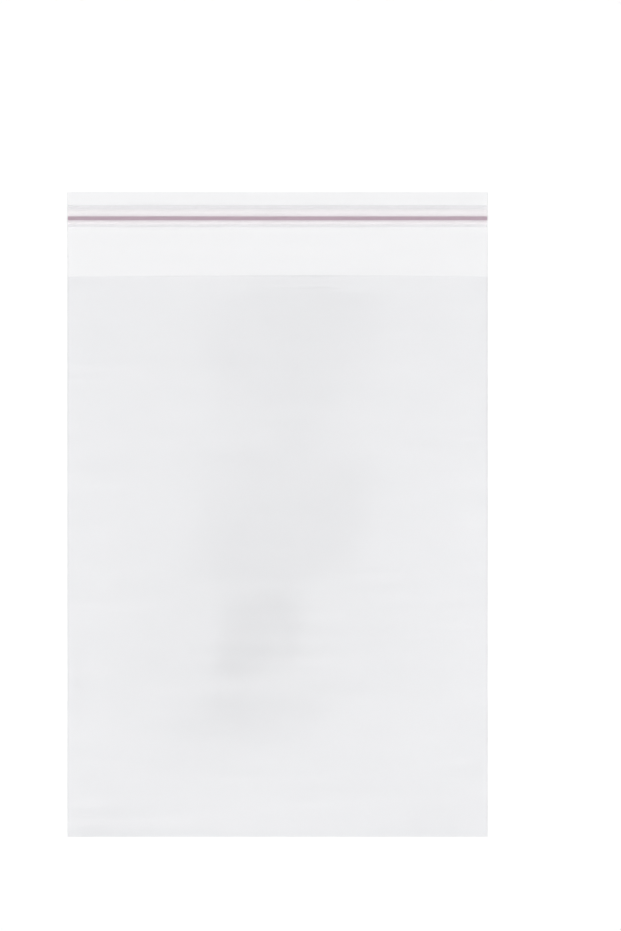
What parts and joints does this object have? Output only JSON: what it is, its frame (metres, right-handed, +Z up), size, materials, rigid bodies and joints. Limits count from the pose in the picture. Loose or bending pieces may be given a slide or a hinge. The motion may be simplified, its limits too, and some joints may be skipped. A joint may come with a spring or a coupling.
{
  "type": "self-seal plastic bag",
  "caption": "Flat bag of clear plastic film with welded sides and a folded bottom, closed by an open flap that carries an adhesive band under a peel-off liner.",
  "frame": {"origin": "middle of the bag's underside, on the surface it lies on", "axes": "+X across the bag, +Y from the bottom fold to the flap's free edge, +Z up out of the front film"},
  "size_m": [0.15, 0.23, 0.0081],
  "materials": {
    "clear_film": "clear, faintly hazy and grey polypropylene film with a gloss",
    "adhesive": "clear tacky adhesive, hidden under the liner",
    "liner_film": "thin translucent release film with a satin gloss",
    "line_ink": "muted mauve printed line"
  },
  "bodies": {
    "root": {"bag_film": "clear_film", "adhesive_strip": "adhesive", "release_liner": "liner_film", "liner_guide_line": "line_ink"}
  },
  "joints": []
}
